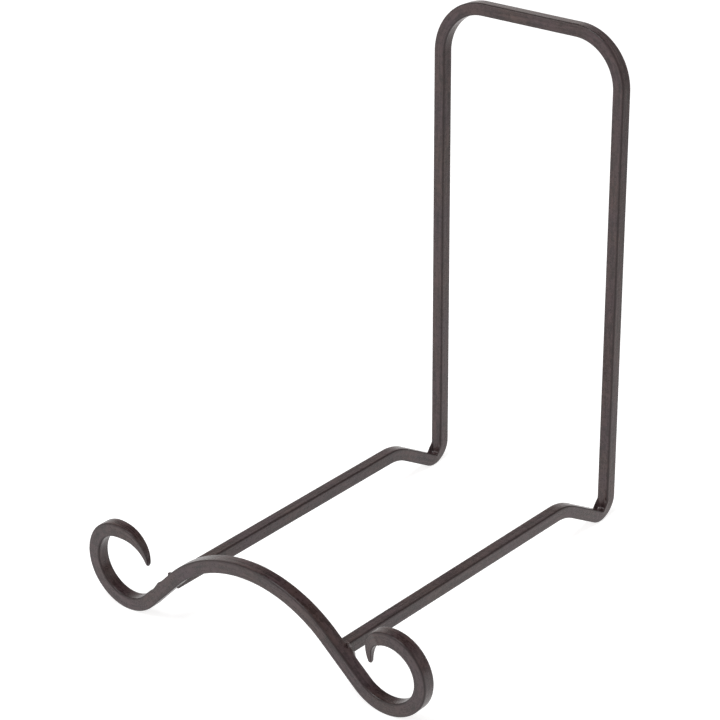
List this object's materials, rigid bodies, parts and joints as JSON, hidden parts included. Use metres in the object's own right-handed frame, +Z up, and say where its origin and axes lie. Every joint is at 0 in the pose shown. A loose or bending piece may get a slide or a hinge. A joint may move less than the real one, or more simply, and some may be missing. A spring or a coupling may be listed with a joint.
{
  "type": "plate display stand",
  "caption": "Small easel of square bar: scrolled front bar, low side rails and a tall back loop that hold a display plate upright.",
  "frame": {"origin": "on the table, under the middle of the stand's outline", "axes": "+Z up, -Y towards the viewer at the front, +X to the viewer's right"},
  "size_m": [0.195, 0.2158, 0.2324],
  "materials": {
    "frame_coat": "satin, dark purplish-brown powder coat",
    "bar_coat": "satin, dark purplish-brown powder coat",
    "weld_coat": "satin, dark purplish-brown powder coat over a rippled weld"
  },
  "bodies": {
    "root": {"back_frame": "frame_coat", "scroll_bar": "bar_coat", "weld_bead_left": "weld_coat", "weld_bead_right": "weld_coat"}
  },
  "joints": []
}
